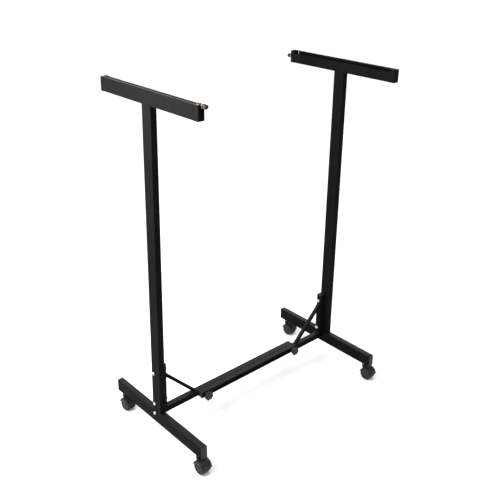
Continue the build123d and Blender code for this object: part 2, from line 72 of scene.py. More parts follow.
# ---- shader maths ----------------------------------------------------------
class Value:
    """One output of a shader node; arithmetic on it adds Math nodes."""

    def __init__(self, graph: "Graph", socket: bpy.types.NodeSocket) -> None:
        """Keep the graph that the socket lives in.

        Args:
            graph: the graph that new nodes are added to.
            socket: the output this value stands for.
        """
        self.graph = graph
        self.socket = socket

    def _maths(self, operation: str, *terms: Term) -> "Value":
        """Add one Math node.

        Args:
            operation: the node's operation.
            terms: its values or links, in order.

        Returns:
            The node's result.
        """
        return self.graph.node(
            "ShaderNodeMath", {"operation": operation}, dict(enumerate(terms)))

    def __add__(self, other: Term) -> "Value":
        """Return self + other."""
        return self._maths("ADD", self, other)

    def __sub__(self, other: Term) -> "Value":
        """Return self - other."""
        return self._maths("SUBTRACT", self, other)

    def __rsub__(self, other: Term) -> "Value":
        """Return other - self."""
        return self._maths("SUBTRACT", other, self)

    def __mul__(self, other: Term) -> "Value":
        """Return self * other."""
        return self._maths("MULTIPLY", self, other)

    __radd__ = __add__

    def above(self, edge: float, soft: float) -> "Value":
        """Return 0 below edge and 1 above edge + soft, with a smooth step between."""
        return self.graph.node(
            "ShaderNodeMapRange", {"interpolation_type": "SMOOTHSTEP"},
            {0: self, 1: edge, 2: edge + soft, 3: 0.0, 4: 1.0})


class Graph:
    """The node tree of one material, with the Principled shader at its end."""

    def __init__(self, name: str) -> None:
        """Make the material.

        Args:
            name: the material's name.
        """
        self.material = bpy.data.materials.new(name)
        self.material.use_nodes = True
        self.tree = self.material.node_tree
        self.tree.nodes.clear()
        self.shader = self.tree.nodes.new("ShaderNodeBsdfPrincipled")
        output = self.tree.nodes.new("ShaderNodeOutputMaterial")
        self.tree.links.new(self.shader.outputs[0], output.inputs[0])
        self.place = self.node("ShaderNodeTexCoord", out="Object")

    def node(self, kind: str, settings: Optional[dict[str, Any]] = None,
             sockets: Optional[dict[Any, Any]] = None,
             out: Union[int, str] = 0) -> Value:
        """Add a node, with its settings first and then its sockets.

        Args:
            kind: the node's type.
            settings: its properties.
            sockets: a value or a link for each named or numbered input.
            out: the output that is returned.

        Returns:
            The chosen output.
        """
        made = self.tree.nodes.new(kind)
        for key, value in (settings or {}).items():
            setattr(made, key, value)
        for key, value in (sockets or {}).items():
            self.feed(made.inputs[key], value)
        return Value(self, made.outputs[out])

    def feed(self, socket: bpy.types.NodeSocket, value: Any) -> None:
        """Set a socket to a number, or link a value into it.

        Args:
            socket: the input.
            value: a Value, number, vector or colour.
        """
        if isinstance(value, Value):
            self.tree.links.new(value.socket, socket)
        elif socket.type == "RGBA" and len(value) == 3:
            socket.default_value = (*value, 1.0)
        else:
            socket.default_value = value

    def set(self, **sockets: Any) -> None:
        """Feed the Principled shader; Base_Color stands for its Base Color socket."""
        for key, value in sockets.items():
            self.feed(self.shader.inputs[key.replace("_", " ")], value)

    def stretched(self, scale: Triple) -> Value:
        """Return the object's place with each axis scaled by its own factor."""
        return self.node("ShaderNodeMapping", {}, {"Vector": self.place, "Scale": scale})

    def noise(self, scale: float, detail: float = 3.0, vector: Optional[Value] = None,
              rough: float = 0.55) -> Value:
        """Return fractal noise between 0 and 1.

        Args:
            scale: cycles per metre.
            detail: octaves.
            vector: the place read, or None for the object's own.
            rough: the share that each octave keeps.

        Returns:
            The noise factor.
        """
        return self.node("ShaderNodeTexNoise", {"noise_dimensions": "3D"},
                         {"Vector": vector or self.place, "Scale": scale,
                          "Detail": detail, "Roughness": rough})

    def mix(self, factor: Term, first: Any, second: Any) -> Value:
        """Return the colour between first and second by factor."""
        return self.node("ShaderNodeMix", {"data_type": "RGBA"},
                         {0: factor, 6: first, 7: second}, out=2)

    def bump(self, height: Value, depth: float, strength: float = 1.0,
             under: Optional[Value] = None) -> Value:
        """Return a normal bent by a height.

        Args:
            height: the height from 0 to 1.
            depth: metres from lowest to highest.
            strength: share of the bend that is used.
            under: a normal that is bent further.

        Returns:
            The new normal.
        """
        sockets: dict[str, Any] = {"Height": height, "Distance": depth, "Strength": strength}
        if under is not None:
            sockets["Normal"] = under
        return self.node("ShaderNodeBump", {}, sockets)

    def edges(self, radius: float) -> Value:
        """Return 0 on flats, rising where the surface turns within radius metres."""
        soft = self.node("ShaderNodeBevel", {"samples": 4}, {"Radius": radius})
        true = self.node("ShaderNodeNewGeometry", out="Normal")
        across = self.node("ShaderNodeVectorMath", {"operation": "DOT_PRODUCT"},
                           {0: soft, 1: true}, out="Value")
        return 1.0 - across

    def upward(self) -> Value:
        """Return how far the surface faces up, from -1 to 1."""
        true = self.node("ShaderNodeNewGeometry", out="Normal")
        return self.node("ShaderNodeSeparateXYZ", {}, {0: true}, out="Z")


# ---- finishes --------------------------------------------------------------
def scaled(colour: Colour, factor: float) -> Colour:
    """Return a colour with each channel multiplied by a factor."""
    return tuple(factor * channel for channel in colour)


@dataclass(frozen=True)
class PowderCoat:
    """Satin powder coat on steel: orange peel, paler upward faces that are partly a real dusting
    and partly painted top light, and worn edges.
    """

    name: str
    colour: Colour = (0.0036, 0.0036, 0.0038)
    worn: Colour = (0.016, 0.016, 0.0165)
    # paler colour for upward faces: partly a real dusting, partly painted top light
    dust: Colour = (0.013, 0.013, 0.013)
    roughness: float = 0.42
    shine: float = 0.012
    coat_ior: float = 1.22
    peel: float = 0.00005
    paler: float = 1.55
    cloud_share: float = 0.5
    dust_share: float = 0.55
    wear_share: float = 0.6

    def material(self) -> bpy.types.Material:
        """Build the coat; peel is two noises, and faces that look up turn paler, partly a real
        dusting and partly painted top light, and get a clear coat for sheen.
        """
        graph = Graph(self.name)
        cloud = graph.noise(9.0, detail=4.0)
        fine = graph.noise(420.0, detail=2.0)
        top = graph.upward().above(0.5, soft=0.4)
        # upward faces are mixed toward a paler colour: partly a real dusting, partly painted top
        # light
        dusting_and_top_light_mask = top * graph.noise(38.0, detail=5.0).above(0.3, soft=0.5)
        bend = graph.edges(0.0011).above(0.03, soft=0.22)
        rim = bend * graph.noise(130.0, detail=4.0).above(0.42, soft=0.2)
        colour = graph.mix(cloud.above(0.35, soft=0.3) * self.cloud_share, self.colour,
                           scaled(self.colour, self.paler))
        colour = graph.mix(dusting_and_top_light_mask * self.dust_share, colour, self.dust)
        colour = graph.mix(rim * self.wear_share, colour, self.worn)
        rough = self.roughness + (cloud - 0.5) * 0.16 + (fine - 0.5) * 0.08 + dusting_and_top_light_mask * 0.1
        peel = graph.bump(graph.noise(760.0, detail=2.0), self.peel)
        graph.set(Base_Color=colour, Roughness=rough, Coat_Weight=top,
                  Normal=graph.bump(graph.noise(240.0, detail=1.0), 2.2 * self.peel, 0.6, peel))
        graph.shader.inputs["Coat Roughness"].default_value = self.roughness
        graph.shader.inputs["Coat IOR"].default_value = self.coat_ior
        graph.shader.inputs["Specular IOR Level"].default_value = self.shine
        return graph.material


@dataclass(frozen=True)
class Moulded:
    """Injection moulded plastic: spark-eroded grain, scuffed edges and soft mottling."""

    name: str
    colour: Colour
    scuffed: Colour
    roughness: float = 0.5
    grain: float = 0.00004
    shine: float = 0.2
    tread: Optional[Colour] = None
    paler: float = 1.5
    wear_share: float = 0.7
    grit_share: float = 0.85

    def material(self) -> bpy.types.Material:
        """Build the plastic; a tread colour follows the piece's own tread attribute."""
        graph = Graph(self.name)
        mottle = graph.noise(70.0, detail=4.0)
        bend = graph.edges(0.0009).above(0.02, soft=0.2)
        rim = bend * graph.noise(260.0, detail=3.0).above(0.38, soft=0.25)
        colour = graph.mix(mottle.above(0.3, soft=0.4), self.colour,
                           scaled(self.colour, self.paler))
        rough = self.roughness + (mottle - 0.5) * 0.18
        if self.tread is not None:
            band = graph.node("ShaderNodeAttribute", {"attribute_name": "tread"}, out="Fac")
            grit = graph.noise(330.0, detail=5.0, rough=0.7).above(0.4, soft=0.25)
            colour = graph.mix(band * grit * self.grit_share, colour, self.tread)
            rough = rough + band * 0.18
        colour = graph.mix(rim * self.wear_share, colour, self.scuffed)
        graph.set(Base_Color=colour, Roughness=rough,
                  Normal=graph.bump(graph.noise(1400.0, detail=2.0), self.grain))
        graph.shader.inputs["Specular IOR Level"].default_value = self.shine
        return graph.material


@dataclass(frozen=True)
class Metal:
    """Bare or plated steel: drawn or turned marks, stains and a broken sheen."""

    name: str
    colour: Colour
    stain: Colour
    roughness: float = 0.3
    marks: Triple = (160.0, 160.0, 160.0)
    depth: float = 0.00002
    darker: float = 0.7
    stain_share: float = 0.7
    mark_share: float = 0.25

    def material(self) -> bpy.types.Material:
        """Build the metal; marks are noise drawn out along the axis with a low scale."""
        graph = Graph(self.name)
        lines = graph.noise(1.0, detail=4.0, vector=graph.stretched(self.marks))
        blotch = graph.noise(120.0, detail=5.0)
        colour = graph.mix(blotch.above(0.42, soft=0.3) * self.stain_share, self.colour, self.stain)
        colour = graph.mix(lines * self.mark_share, colour, scaled(self.colour, self.darker))
        graph.set(Base_Color=colour, Metallic=1.0,
                  Roughness=self.roughness + (lines - 0.5) * 0.22 + (blotch - 0.5) * 0.12,
                  Normal=graph.bump(lines, self.depth))
        return graph.material


class Finish(Enum):
    """The finish for each of the record's material slots."""

    frame_paint = PowderCoat("satin_black_coat")
    block_black = PowderCoat("end_block_coat", roughness=0.38, peel=0.00003)
    cap_black = Moulded("black_cap_plastic", (0.0045, 0.0045, 0.0047), (0.02, 0.02, 0.02))
    grip_black = Moulded("black_grip_plastic", (0.012, 0.0085, 0.008), (0.04, 0.03, 0.027), 0.36)
    knob_grey = Moulded("grey_knob_plastic", (0.0075, 0.0077, 0.007), (0.025, 0.025, 0.023), 0.42)
    hood_grey = Moulded("caster_hood_plastic", (0.0064, 0.0067, 0.0058), (0.022, 0.022, 0.02), 0.4)
    wheel_grey = Moulded("caster_wheel_plastic", (0.0075, 0.0078, 0.0064),
                         (0.026, 0.026, 0.0235), tread=(0.02, 0.0195, 0.0175))
    zinc_steel = Metal("bright_zinc", (0.66, 0.66, 0.65), (0.42, 0.42, 0.41), 0.34)
    bare_steel = Metal("turned_steel", (0.2, 0.15, 0.135), (0.1, 0.065, 0.055), 0.34,
                       (2.0, 5200.0, 2.0), 0.00003)
    yellow_zinc = Metal("yellow_plated", (0.3, 0.17, 0.075), (0.16, 0.06, 0.03), 0.34,
                        (2.0, 5200.0, 2.0))


class Palette:
    """Makes each finish once and puts it on pieces by the record's slots."""

    def __init__(self, record: dict[str, Any]) -> None:
        """Read which slot each node takes its finish from.

        Args:
            record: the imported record.
        """
        self.slots = {row["node"]: row["material_slot"] for row in record["subparts"]}
        self.made: dict[str, bpy.types.Material] = {}

    def material(self, slot: str) -> bpy.types.Material:
        """Return the finish of a slot, made at its first use."""
        if slot not in self.made:
            self.made[slot] = Finish[slot].value.material()
        return self.made[slot]

    def dress(self, piece: bpy.types.Object, slot: str) -> None:
        """Give a piece one finish in all of its material slots.

        Args:
            piece: a new piece or a CAD node.
            slot: the record's slot name.
        """
        if not piece.material_slots:
            piece.data.materials.append(None)
        for holder in piece.material_slots:
            holder.material = self.material(slot)


# ---- surfaces --------------------------------------------------------------
class Along(Enum):
    """The axis that a turned piece runs along, with the two directions round it."""

    X = ((1, 0, 0), (0, 1, 0), (0, 0, 1))
    Y = ((0, 1, 0), (0, 0, 1), (1, 0, 0))
    Z = ((0, 0, 1), (1, 0, 0), (0, 1, 0))


def grid_quads(rows: int, columns: int, wrap: bool) -> np.ndarray:
    """Return the four corners of each cell of a grid that is closed across its columns.

    Args:
        rows: number of rows.
        columns: number of columns.
        wrap: whether the last row joins the first.

    Returns:
        Corner numbers, one row of four for each cell.
    """
    row, column = np.meshgrid(np.arange(rows if wrap else rows - 1), np.arange(columns),
                              indexing="ij")
    after = (row + 1) % rows
    beside = (column + 1) % columns
    corners = (row * columns + column, row * columns + beside,
               after * columns + beside, after * columns + column)
    return np.stack(corners, -1).reshape(-1, 4)


def make_piece(name: str, points: np.ndarray, wrap: bool = False, capped: bool = True,
               smooth: float = SMOOTH_ANGLE) -> bpy.types.Object:
    """Turn a grid of points into a closed piece with its faces outward.

    Args:
        name: the piece's name.
        points: rows by columns by 3, in metres; the columns close on themselves.
        wrap: whether the last row joins the first.
        capped: whether the first and last rows are closed by one face each.
        smooth: edges that turn further than this stay sharp.

    Returns:
        The piece, linked to the scene at the origin.
    """
    rows, columns = points.shape[:2]
    faces = grid_quads(rows, columns, wrap).tolist()
    if capped and not wrap:
        faces.append(list(range(columns))[::-1])
        faces.append(list(range((rows - 1) * columns, rows * columns)))
    mesh = bpy.data.meshes.new(name)
    mesh.from_pydata(points.reshape(-1, 3), [], faces)
    shell = bmesh.new()
    shell.from_mesh(mesh)
    bmesh.ops.remove_doubles(shell, verts=shell.verts, dist=MERGE_DISTANCE)
    bmesh.ops.dissolve_degenerate(shell, edges=shell.edges, dist=MERGE_DISTANCE)
    bmesh.ops.recalc_face_normals(shell, faces=shell.faces)
    shell.to_mesh(mesh)
    shell.free()
    mesh.polygons.foreach_set("use_smooth", np.ones(len(mesh.polygons), bool))
    mesh.set_sharp_from_angle(angle=smooth)
    piece = bpy.data.objects.new(name, mesh)
    bpy.context.scene.collection.objects.link(piece)
    return piece


def rounded(corners: Sequence[tuple[float, ...]], radius: float, steps: int = 4,
            share: float = 0.45) -> np.ndarray:
    """Return an open profile whose inner corners are eased by small arcs.

    Each corner is replaced by a quadratic curve between points the radius away from it,
    or a share of the shorter run if that is less: (1-t)^2 a + 2t(1-t) corner + t^2 b.

    Args:
        corners: the corner points, with any further columns carried along.
        radius: how far from the corner the arc starts.
        steps: points for each arc.
        share: the most of a run that one arc may take.

    Returns:
        The eased profile.
    """
    line = np.array(corners, float)
    before, corner, after = line[:-2], line[1:-1], line[2:]
    back, on = before - corner, after - corner
    back_length = np.linalg.norm(back[:, :2], axis=1, keepdims=True)
    on_length = np.linalg.norm(on[:, :2], axis=1, keepdims=True)
    reach = np.minimum(radius, share * np.minimum(back_length, on_length))
    first = corner + back * reach / back_length
    last = corner + on * reach / on_length
    t = np.linspace(0, 1, steps)[None, :, None]
    arcs = (1 - t) ** 2 * first[:, None] + 2 * t * (1 - t) * corner[:, None] \
        + t ** 2 * last[:, None]
    return np.vstack([line[:1], arcs.reshape(-1, line.shape[1]), line[-1:]])


def turned(axis: Along, centre: Sequence[float], profile: np.ndarray, way: int = 1,
           segments: int = 56, swell: Optional[Callable[[np.ndarray], np.ndarray]] = None
           ) -> np.ndarray:
    """Return the grid of a turned shape.

    point(s, t) = centre + way along(s) axis + r(s) (1 + k(s) (swell(t) - 1)) (u cos t + v sin t)

    Args:
        axis: the axis it is turned about.
        centre: the point where along is 0.
        profile: columns along, radius and, where the shape isn't round, k, in millimetres.
        way: 1, or -1 to run against the axis.
        segments: points round.
        swell: the radius factor by angle.

    Returns:
        Rows by segments by 3 points in metres.
    """
    ahead, u, v = (np.array(d, float) for d in axis.value)
    angle = np.linspace(0, 2 * np.pi, segments, endpoint=False)
    factor = np.ones((len(profile), segments))
    if swell is not None:
        factor += profile[:, 2:3] * (swell(angle)[None, :] - 1)
    reach = profile[:, 1:2] * factor * MM
    ring = np.cos(angle)[:, None] * u + np.sin(angle)[:, None] * v
    return np.array(centre) + (way * profile[:, 0] * MM)[:, None, None] * ahead \
        + reach[..., None] * ring[None]


def hexagon(angle: np.ndarray) -> np.ndarray:
    """Return a hexagon's radius by angle as a share of its corner radius."""
    return math.cos(math.pi / 6) / np.cos(np.mod(angle, math.pi / 3) - math.pi / 6)


def lobed(count: int, depth: float, power: float = 1.4
          ) -> Callable[[np.ndarray], np.ndarray]:
    """Return a radius factor with round lobes: 1 - depth (0.5 - 0.5 cos(count t)) ^ power."""
    return lambda angle: 1 - depth * (0.5 - 0.5 * np.cos(count * angle)) ** power


def middle(node: str) -> np.ndarray:
    """Return the middle of a CAD node's box."""
    low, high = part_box(node)
    return np.array((low + high) / 2)


def edge(node: str, axis: int, way: int) -> float:
    """Return a CAD node's lowest (way -1) or highest (way 1) coordinate on an axis."""
    return float(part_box(node)[0 if way < 0 else 1][axis])


@dataclass
class Assembly:
    """A sub-assembly on one frame: its side, and what puts finished pieces in place."""

    side: str
    sign: int
    palette: Palette

    def fit(self, piece: bpy.types.Object, body: str, slot: str, *nodes: str) -> None:
        """Dress a new piece and tie it to its body and the nodes it stands for.

        Args:
            piece: the new piece.
            body: the body it moves with.
            slot: the record's slot for its finish.
            nodes: the CAD nodes it replaces.
        """
        self.palette.dress(piece, slot)
        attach(piece, body)
        if nodes:
            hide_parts(*nodes)
        LOG.info("piece %s on %s, %d faces", piece.name, body, len(piece.data.polygons))


# ---- casters ---------------------------------------------------------------
@dataclass
class Caster(Assembly):
    """A twin-wheel swivel caster: hood with boss and web, and two dished wheels."""

    place: str = "near"
    hood_half: float = 22.0
    hood_inner: float = 27.2
    hood_outer: float = 29.4
    fender_drop: float = 2.4
    web_half: float = 3.5
    web_radius: float = 19.0
    boss_radius: float = 11.0
    pin_bore: float = 4.05
    pin_depth: float = 16.5
    trail: float = 20.0
    crown: float = 1.5
    lip: float = 0.5
    axle_hole: float = 3.02
    web_ease: float = 0.6
    tread_start: float = 23.6
    tread_fade: float = 1.1
    arc_points: int = 44
    cross_points: int = 15
    web_points: int = 72

    @property
    def name(self) -> str:
        """Return the start of this caster's node names."""
        return f"{self.side}_{self.place}"

    def build(self) -> None:
        """Build the hood and both wheels."""
        self.hood()
        self.wheel("a", -1)
        self.wheel("b", 1)

    def wheel(self, letter: str, way: int) -> None:
        """Build one wheel from a closed profile: blind bore, crowned tread, dished face.

        Args:
            letter: which wheel.
            way: -1 if its outer face looks along -X, 1 if along +X.
        """
        node = f"{self.name}_wheel_{letter}"
        centre = middle(node)
        centre[0] = edge(node, 0, -way)
        profile = rounded((
            (15.7, 0.0), (15.7, 3.05), (0.0, 3.05), (0.0, 9.0), (1.4, 10.2), (1.4, 18.6),
            (0.0, 19.8), (0.0, 22.8), (1.1, 24.6), (3.2, 24.95), (8.2, 25.0), (13.4, 24.95),
            (15.6, 24.2), (16.5, 22.4), (16.5, 20.6), (15.2, 20.0), (13.9, 15.4),
            (13.9, 9.6), (15.3, 8.6), (15.3, 6.6), (16.4, 5.2), (16.5, 0.0)), radius=0.7)
        piece = make_piece(node + "_turned",
                           turned(Along.X, centre, profile, way, segments=72), capped=False)
        count = len(piece.data.vertices)
        place = np.zeros(count * 3)
        piece.data.vertices.foreach_get("co", place)
        reach = np.linalg.norm(place.reshape(-1, 3)[:, 1:] - centre[1:], axis=1) / MM
        band = piece.data.attributes.new("tread", "FLOAT", "POINT")
        share = np.clip((reach - self.tread_start) / self.tread_fade, 0, 1)
        band.data.foreach_set("value", share.astype(np.float32))
        self.fit(piece, node, self.palette.slots[node], node)

    def hood(self) -> None:
        """Build fender, web and boss, and join them into one shell."""
        node = f"{self.name}_hood"
        axle = middle(f"{self.name}_axle")
        stem_y = axle[1] + self.trail * MM
        top = edge(node, 2, 1)
        parts = [self.fender(axle), self.web(axle), self.boss(axle, stem_y, top)]
        piece = parts[0]
        for other in parts[1:]:
            union = piece.modifiers.new("join", "BOOLEAN")
            union.operation = "UNION"
            union.solver = "EXACT"
            union.object = other
        bpy.context.view_layer.update()
        whole = bpy.data.meshes.new_from_object(
            piece.evaluated_get(bpy.context.evaluated_depsgraph_get()))
        piece.modifiers.clear()
        piece.data = whole
        piece.name = node + "_shell"
        for other in parts[1:]:
            bpy.data.objects.remove(other)
        whole.polygons.foreach_set("use_smooth", np.ones(len(whole.polygons), bool))
        whole.set_sharp_from_angle(angle=SMOOTH_ANGLE)
        self.fit(piece, f"{self.name}_swivel", self.palette.slots[node], node)

    def fender(self, axle: np.ndarray) -> bpy.types.Object:
        """Build the arched fender: a crowned section carried round the axle.

        point(a, s) = axle + x(s) X + r(s) (cos a Y + sin a Z), where the outer radius
        falls off as the sixth power of x toward the fender's sides.

        Args:
            axle: the middle of the axle.

        Returns:
            The fender as its own closed piece.
        """
        start = math.asin(self.fender_drop / self.hood_outer)
        angle = np.linspace(start, math.pi - start, self.arc_points)
        across = np.linspace(-1, 1, self.cross_points)
        outer = self.hood_outer - self.crown * np.abs(across) ** 6
        section = np.vstack([
            np.column_stack([self.hood_half * across, outer]),
            np.column_stack([(self.hood_half - self.lip) * across[::-1],
                             np.full(self.cross_points, self.hood_inner)])])
        x = np.broadcast_to(section[:, 0], (len(angle), len(section)))
        reach = np.broadcast_to(section[:, 1], x.shape)
        points = np.stack([x, reach * np.cos(angle)[:, None],
                           reach * np.sin(angle)[:, None]], -1) * MM + axle
        return make_piece("fender", points)

    def web(self, axle: np.ndarray) -> bpy.types.Object:
        """Build the web between the wheels: an outline round the axle hole.

        The outline is a circle below that grows toward the fender above:
        r(a) = web_radius + (hood_inner + web_ease - web_radius) smooth(sin a).

        Args:
            axle: the middle of the axle.

        Returns:
            The web as its own closed piece.
        """
        ease, half = self.web_ease, self.web_half
        angle = np.linspace(0, 2 * np.pi, self.web_points, endpoint=False)
        rise = np.clip((np.sin(angle) + 0.25) / 0.9, 0, 1)
        outline = self.web_radius + (self.hood_inner + ease - self.web_radius) \
            * rise ** 2 * (3 - 2 * rise)
        hole = np.full(self.web_points, self.axle_hole)
        levels = ((-half, hole), (-half, outline - ease), (-half + ease, outline),
                  (half - ease, outline), (half, outline - ease), (half, hole))
        rows = np.array([[np.full(self.web_points, x), r * np.cos(angle), r * np.sin(angle)]
                         for x, r in levels])
        return make_piece("web", rows.transpose(0, 2, 1) * MM + axle, wrap=True)

    def boss(self, axle: np.ndarray, stem_y: float, top: float) -> bpy.types.Object:
        """Build the swivel boss: a turned cup with a rounded foot and the pin's bore.

        Args:
            axle: the middle of the axle.
            stem_y: the swivel axis on Y.
            top: the height of the boss's rim.

        Returns:
            The boss as its own closed piece.
        """
        r = self.boss_radius
        profile = rounded((
            (-self.pin_depth, 0.0), (-self.pin_depth, self.pin_bore), (0.0, self.pin_bore),
            (0.0, r - 2.2), (-1.2, r - 0.8), (-4.0, r - 0.3), (-14.5, r), (-18.2, r - 1.4),
            (-19.0, r - 4.5), (-19.0, 0.0)), radius=1.1, steps=5)
        return make_piece("boss", turned(Along.Z, (axle[0], stem_y, top), profile),
                          capped=False)


# ---- hardware --------------------------------------------------------------
@dataclass
class Hardware(Assembly):
    """Bolts, nuts, the crossbar's lock and the clamp rod's grip and ring."""

    bolt_radius: float = 4.0
    across_flats: float = 13.0
    head_radius: float = 6.25
    pitch: float = 1.25
    thread_depth: float = 0.45
    level_gap: float = 10.0

    @property
    def nut_corner(self) -> float:
        """Return the radius to the corners of a nut or a hexagon head."""
        return self.across_flats / 2 / math.cos(math.pi / 6)

    def build(self) -> None:
        """Build every piece of hardware on this frame."""
        self.bolts()
        self.nuts()
        self.lock_bolt()
        self.lock_knob()
        self.clamp_ring()
        self.clamp_grip()

    def levels(self) -> list[float]:
        """Return the heights of the three through bolts, read from the nuts' vertices."""
        mesh = bpy.data.objects[f"{self.side}_nuts"].data
        place = np.zeros(len(mesh.vertices) * 3)
        mesh.vertices.foreach_get("co", place)
        height = np.sort(place.reshape(-1, 3)[:, 2])
        groups = np.split(height, np.flatnonzero(np.diff(height) > self.level_gap * MM) + 1)
        return [float((g.min() + g.max()) / 2) for g in groups]

    def thread(self, start: float, stop: float) -> list[tuple[float, float]]:
        """Return the ridges of a cut thread as along and radius, in millimetres.

        Args:
            start: where the thread starts.
            stop: where it ends.

        Returns:
            Points that go between the crest and the root once each pitch.
        """
        turns = int((stop - start) / self.pitch)
        along = start + np.arange(2 * turns + 1) * self.pitch / 2
        radius = np.where(np.arange(2 * turns + 1) % 2, self.bolt_radius,
                          self.bolt_radius - self.thread_depth)
        return list(zip(along.tolist(), radius.tolist()))

    def bolts(self) -> None:
        """Build the three bolts: domed head with a hexagon socket, and a threaded end."""
        node = f"{self.side}_bolts"
        y = float(middle(node)[1])
        face = edge(f"{self.side}_upright", 0, self.sign)
        r = self.head_radius
        head = rounded((
            (-2.3, 0.0, 0.0), (-2.3, 2.7, 1.0), (-4.3, 2.7, 1.0), (-4.5, 3.0, 0.0),
            (-4.2, 4.2, 0.0), (-3.1, 5.4, 0.0), (-1.5, 6.05, 0.0), (-1.3, r, 0.0),
            (0.0, r, 0.0), (0.0, self.bolt_radius, 0.0)), radius=0.3, steps=3)
        shank = [(2.0, self.bolt_radius), *self.thread(45.0, 59.0), (60.0, 3.1), (60.0, 0.0)]
        tail = np.array([(a, b, 0.0) for a, b in shank])
        profile = np.vstack([head, tail])
        for number, z in enumerate(self.levels()):
            grid = turned(Along.X, (face, y, z), profile, -self.sign, segments=48, swell=hexagon)
            piece = make_piece(f"{self.side}_bolt_{number + 1}", grid, capped=False)
            self.fit(piece, f"{self.side}_frame", self.palette.slots[node], node)

    def nuts(self) -> None:
        """Build the three hexagon nuts with chamfered corners and a bore."""
        node = f"{self.side}_nuts"
        y = float(middle(node)[1])
        seat = edge(node, 0, self.sign)
        corner = self.nut_corner
        profile = rounded((
            (0.0, 4.02, 0.0), (0.0, 6.2, 0.0), (0.0, 6.45, 0.0), (0.75, corner, 1.0),
            (5.75, corner, 1.0), (6.5, 6.45, 0.0), (6.5, 6.2, 0.0), (6.5, 4.5, 0.0),
            (6.0, 4.02, 0.0)), radius=0.12, steps=2)
        for number, z in enumerate(self.levels()):
            grid = turned(Along.X, (seat, y, z), profile, -self.sign, segments=48, swell=hexagon)
            piece = make_piece(f"{self.side}_nut_{number + 1}", grid, wrap=True)
            self.fit(piece, f"{self.side}_frame", self.palette.slots[node], node)

    def lock_bolt(self) -> None:
        """Build the cross bolt: a hexagon head on the far side and a threaded end."""
        node = f"{self.side}_lock_bolt"
        x, _, z = middle(node)
        far = edge(node, 1, 1)
        length = (far - edge(node, 1, -1)) / MM
        corner = self.nut_corner
        profile = np.array([
            (0.0, 0.0, 0.0), (0.0, 5.6, 0.0), (0.0, 6.4, 0.0), (0.7, corner, 1.0),
            (5.0, corner, 1.0), (5.0, self.bolt_radius, 0.0),
            *((a, b, 0.0) for a, b in self.thread(length - 16.0, length - 1.0)),
            (length, 3.1, 0.0), (length, 0.0, 0.0)])
        grid = turned(Along.Y, (x, far, z), profile, -1, segments=48, swell=hexagon)
        piece = make_piece(f"{self.side}_cross_bolt", grid, capped=False)
        self.fit(piece, f"{self.side}_frame", self.palette.slots[node], node)

    def lock_knob(self) -> None:
        """Build the hand knob: a hub, seven round lobes and a dished front."""
        node = f"{self.side}_lock_knob"
        x, _, z = middle(f"{self.side}_lock_bolt")
        profile = rounded((
            (16.0, 0.0, 0.0), (16.0, 4.05, 0.0), (0.0, 4.05, 0.0), (0.0, 8.6, 0.0),
            (0.6, 9.0, 0.0), (8.8, 9.0, 0.0), (9.9, 11.2, 0.2), (10.6, 16.6, 1.0),
            (12.0, 18.6, 1.0), (14.4, 19.0, 1.0), (20.2, 18.9, 1.0), (22.6, 17.4, 1.0),
            (23.8, 14.6, 0.8), (24.0, 11.8, 0.4), (22.9, 10.0, 0.0), (22.4, 7.0, 0.0),
            (23.5, 5.8, 0.0), (23.8, 0.0, 0.0)), radius=1.0, steps=5)
        grid = turned(Along.Y, (x, edge(node, 1, 1), z), profile, -1, segments=112,
                      swell=lobed(count=7, depth=0.2))
        piece = make_piece(f"{self.side}_hand_knob", grid, capped=False)
        self.fit(piece, f"{self.side}_knob", self.palette.slots[node], node)

    def clamp_start(self, node: str) -> tuple[np.ndarray, int]:
        """Return the point where a clamp piece starts, and the way it runs on Y."""
        centre = middle(node)
        way = 1 if centre[1] > middle(f"{self.side}_rail")[1] else -1
        centre[1] = edge(node, 1, -way)
        return centre, way

    def clamp_ring(self) -> None:
        """Build the yellow ring with a knurled rim."""
        node = f"{self.side}_clamp_ring"
        centre, way = self.clamp_start(node)
        profile = np.array([
            (0.0, 3.2, 0.0), (0.0, 6.9, 0.0), (0.5, 7.45, 1.0), (2.5, 7.45, 1.0),
            (3.0, 6.9, 0.0), (3.0, 3.2, 0.0)])
        grid = turned(Along.Y, centre, profile, way, segments=144,
                      swell=lobed(count=36, depth=0.06))
        piece = make_piece(f"{self.side}_knurled_ring", grid, wrap=True)
        self.fit(piece, f"{self.side}_clamp_rod", self.palette.slots[node], node)

    def clamp_grip(self) -> None:
        """Build the fluted grip: a collar, a barrel with eight flutes and a dimpled end."""
        node = f"{self.side}_clamp_grip"
        centre, way = self.clamp_start(node)
        profile = rounded((
            (12.0, 0.0, 0.0), (12.0, 3.05, 0.0), (0.0, 3.05, 0.0), (0.0, 5.8, 0.0),
            (0.4, 6.3, 0.0), (1.7, 6.5, 0.0), (2.3, 7.6, 0.8), (3.4, 8.0, 1.0),
            (13.2, 8.0, 1.0), (15.2, 7.4, 0.8), (16.0, 6.0, 0.2), (15.9, 4.6, 0.0),
            (15.1, 3.7, 0.0), (15.0, 0.0, 0.0)), radius=0.7)
        grid = turned(Along.Y, centre, profile, way, segments=96,
                      swell=lobed(count=8, depth=0.16))
        piece = make_piece(f"{self.side}_fluted_grip", grid, capped=False)
        self.fit(piece, f"{self.side}_grip", self.palette.slots[node], node)


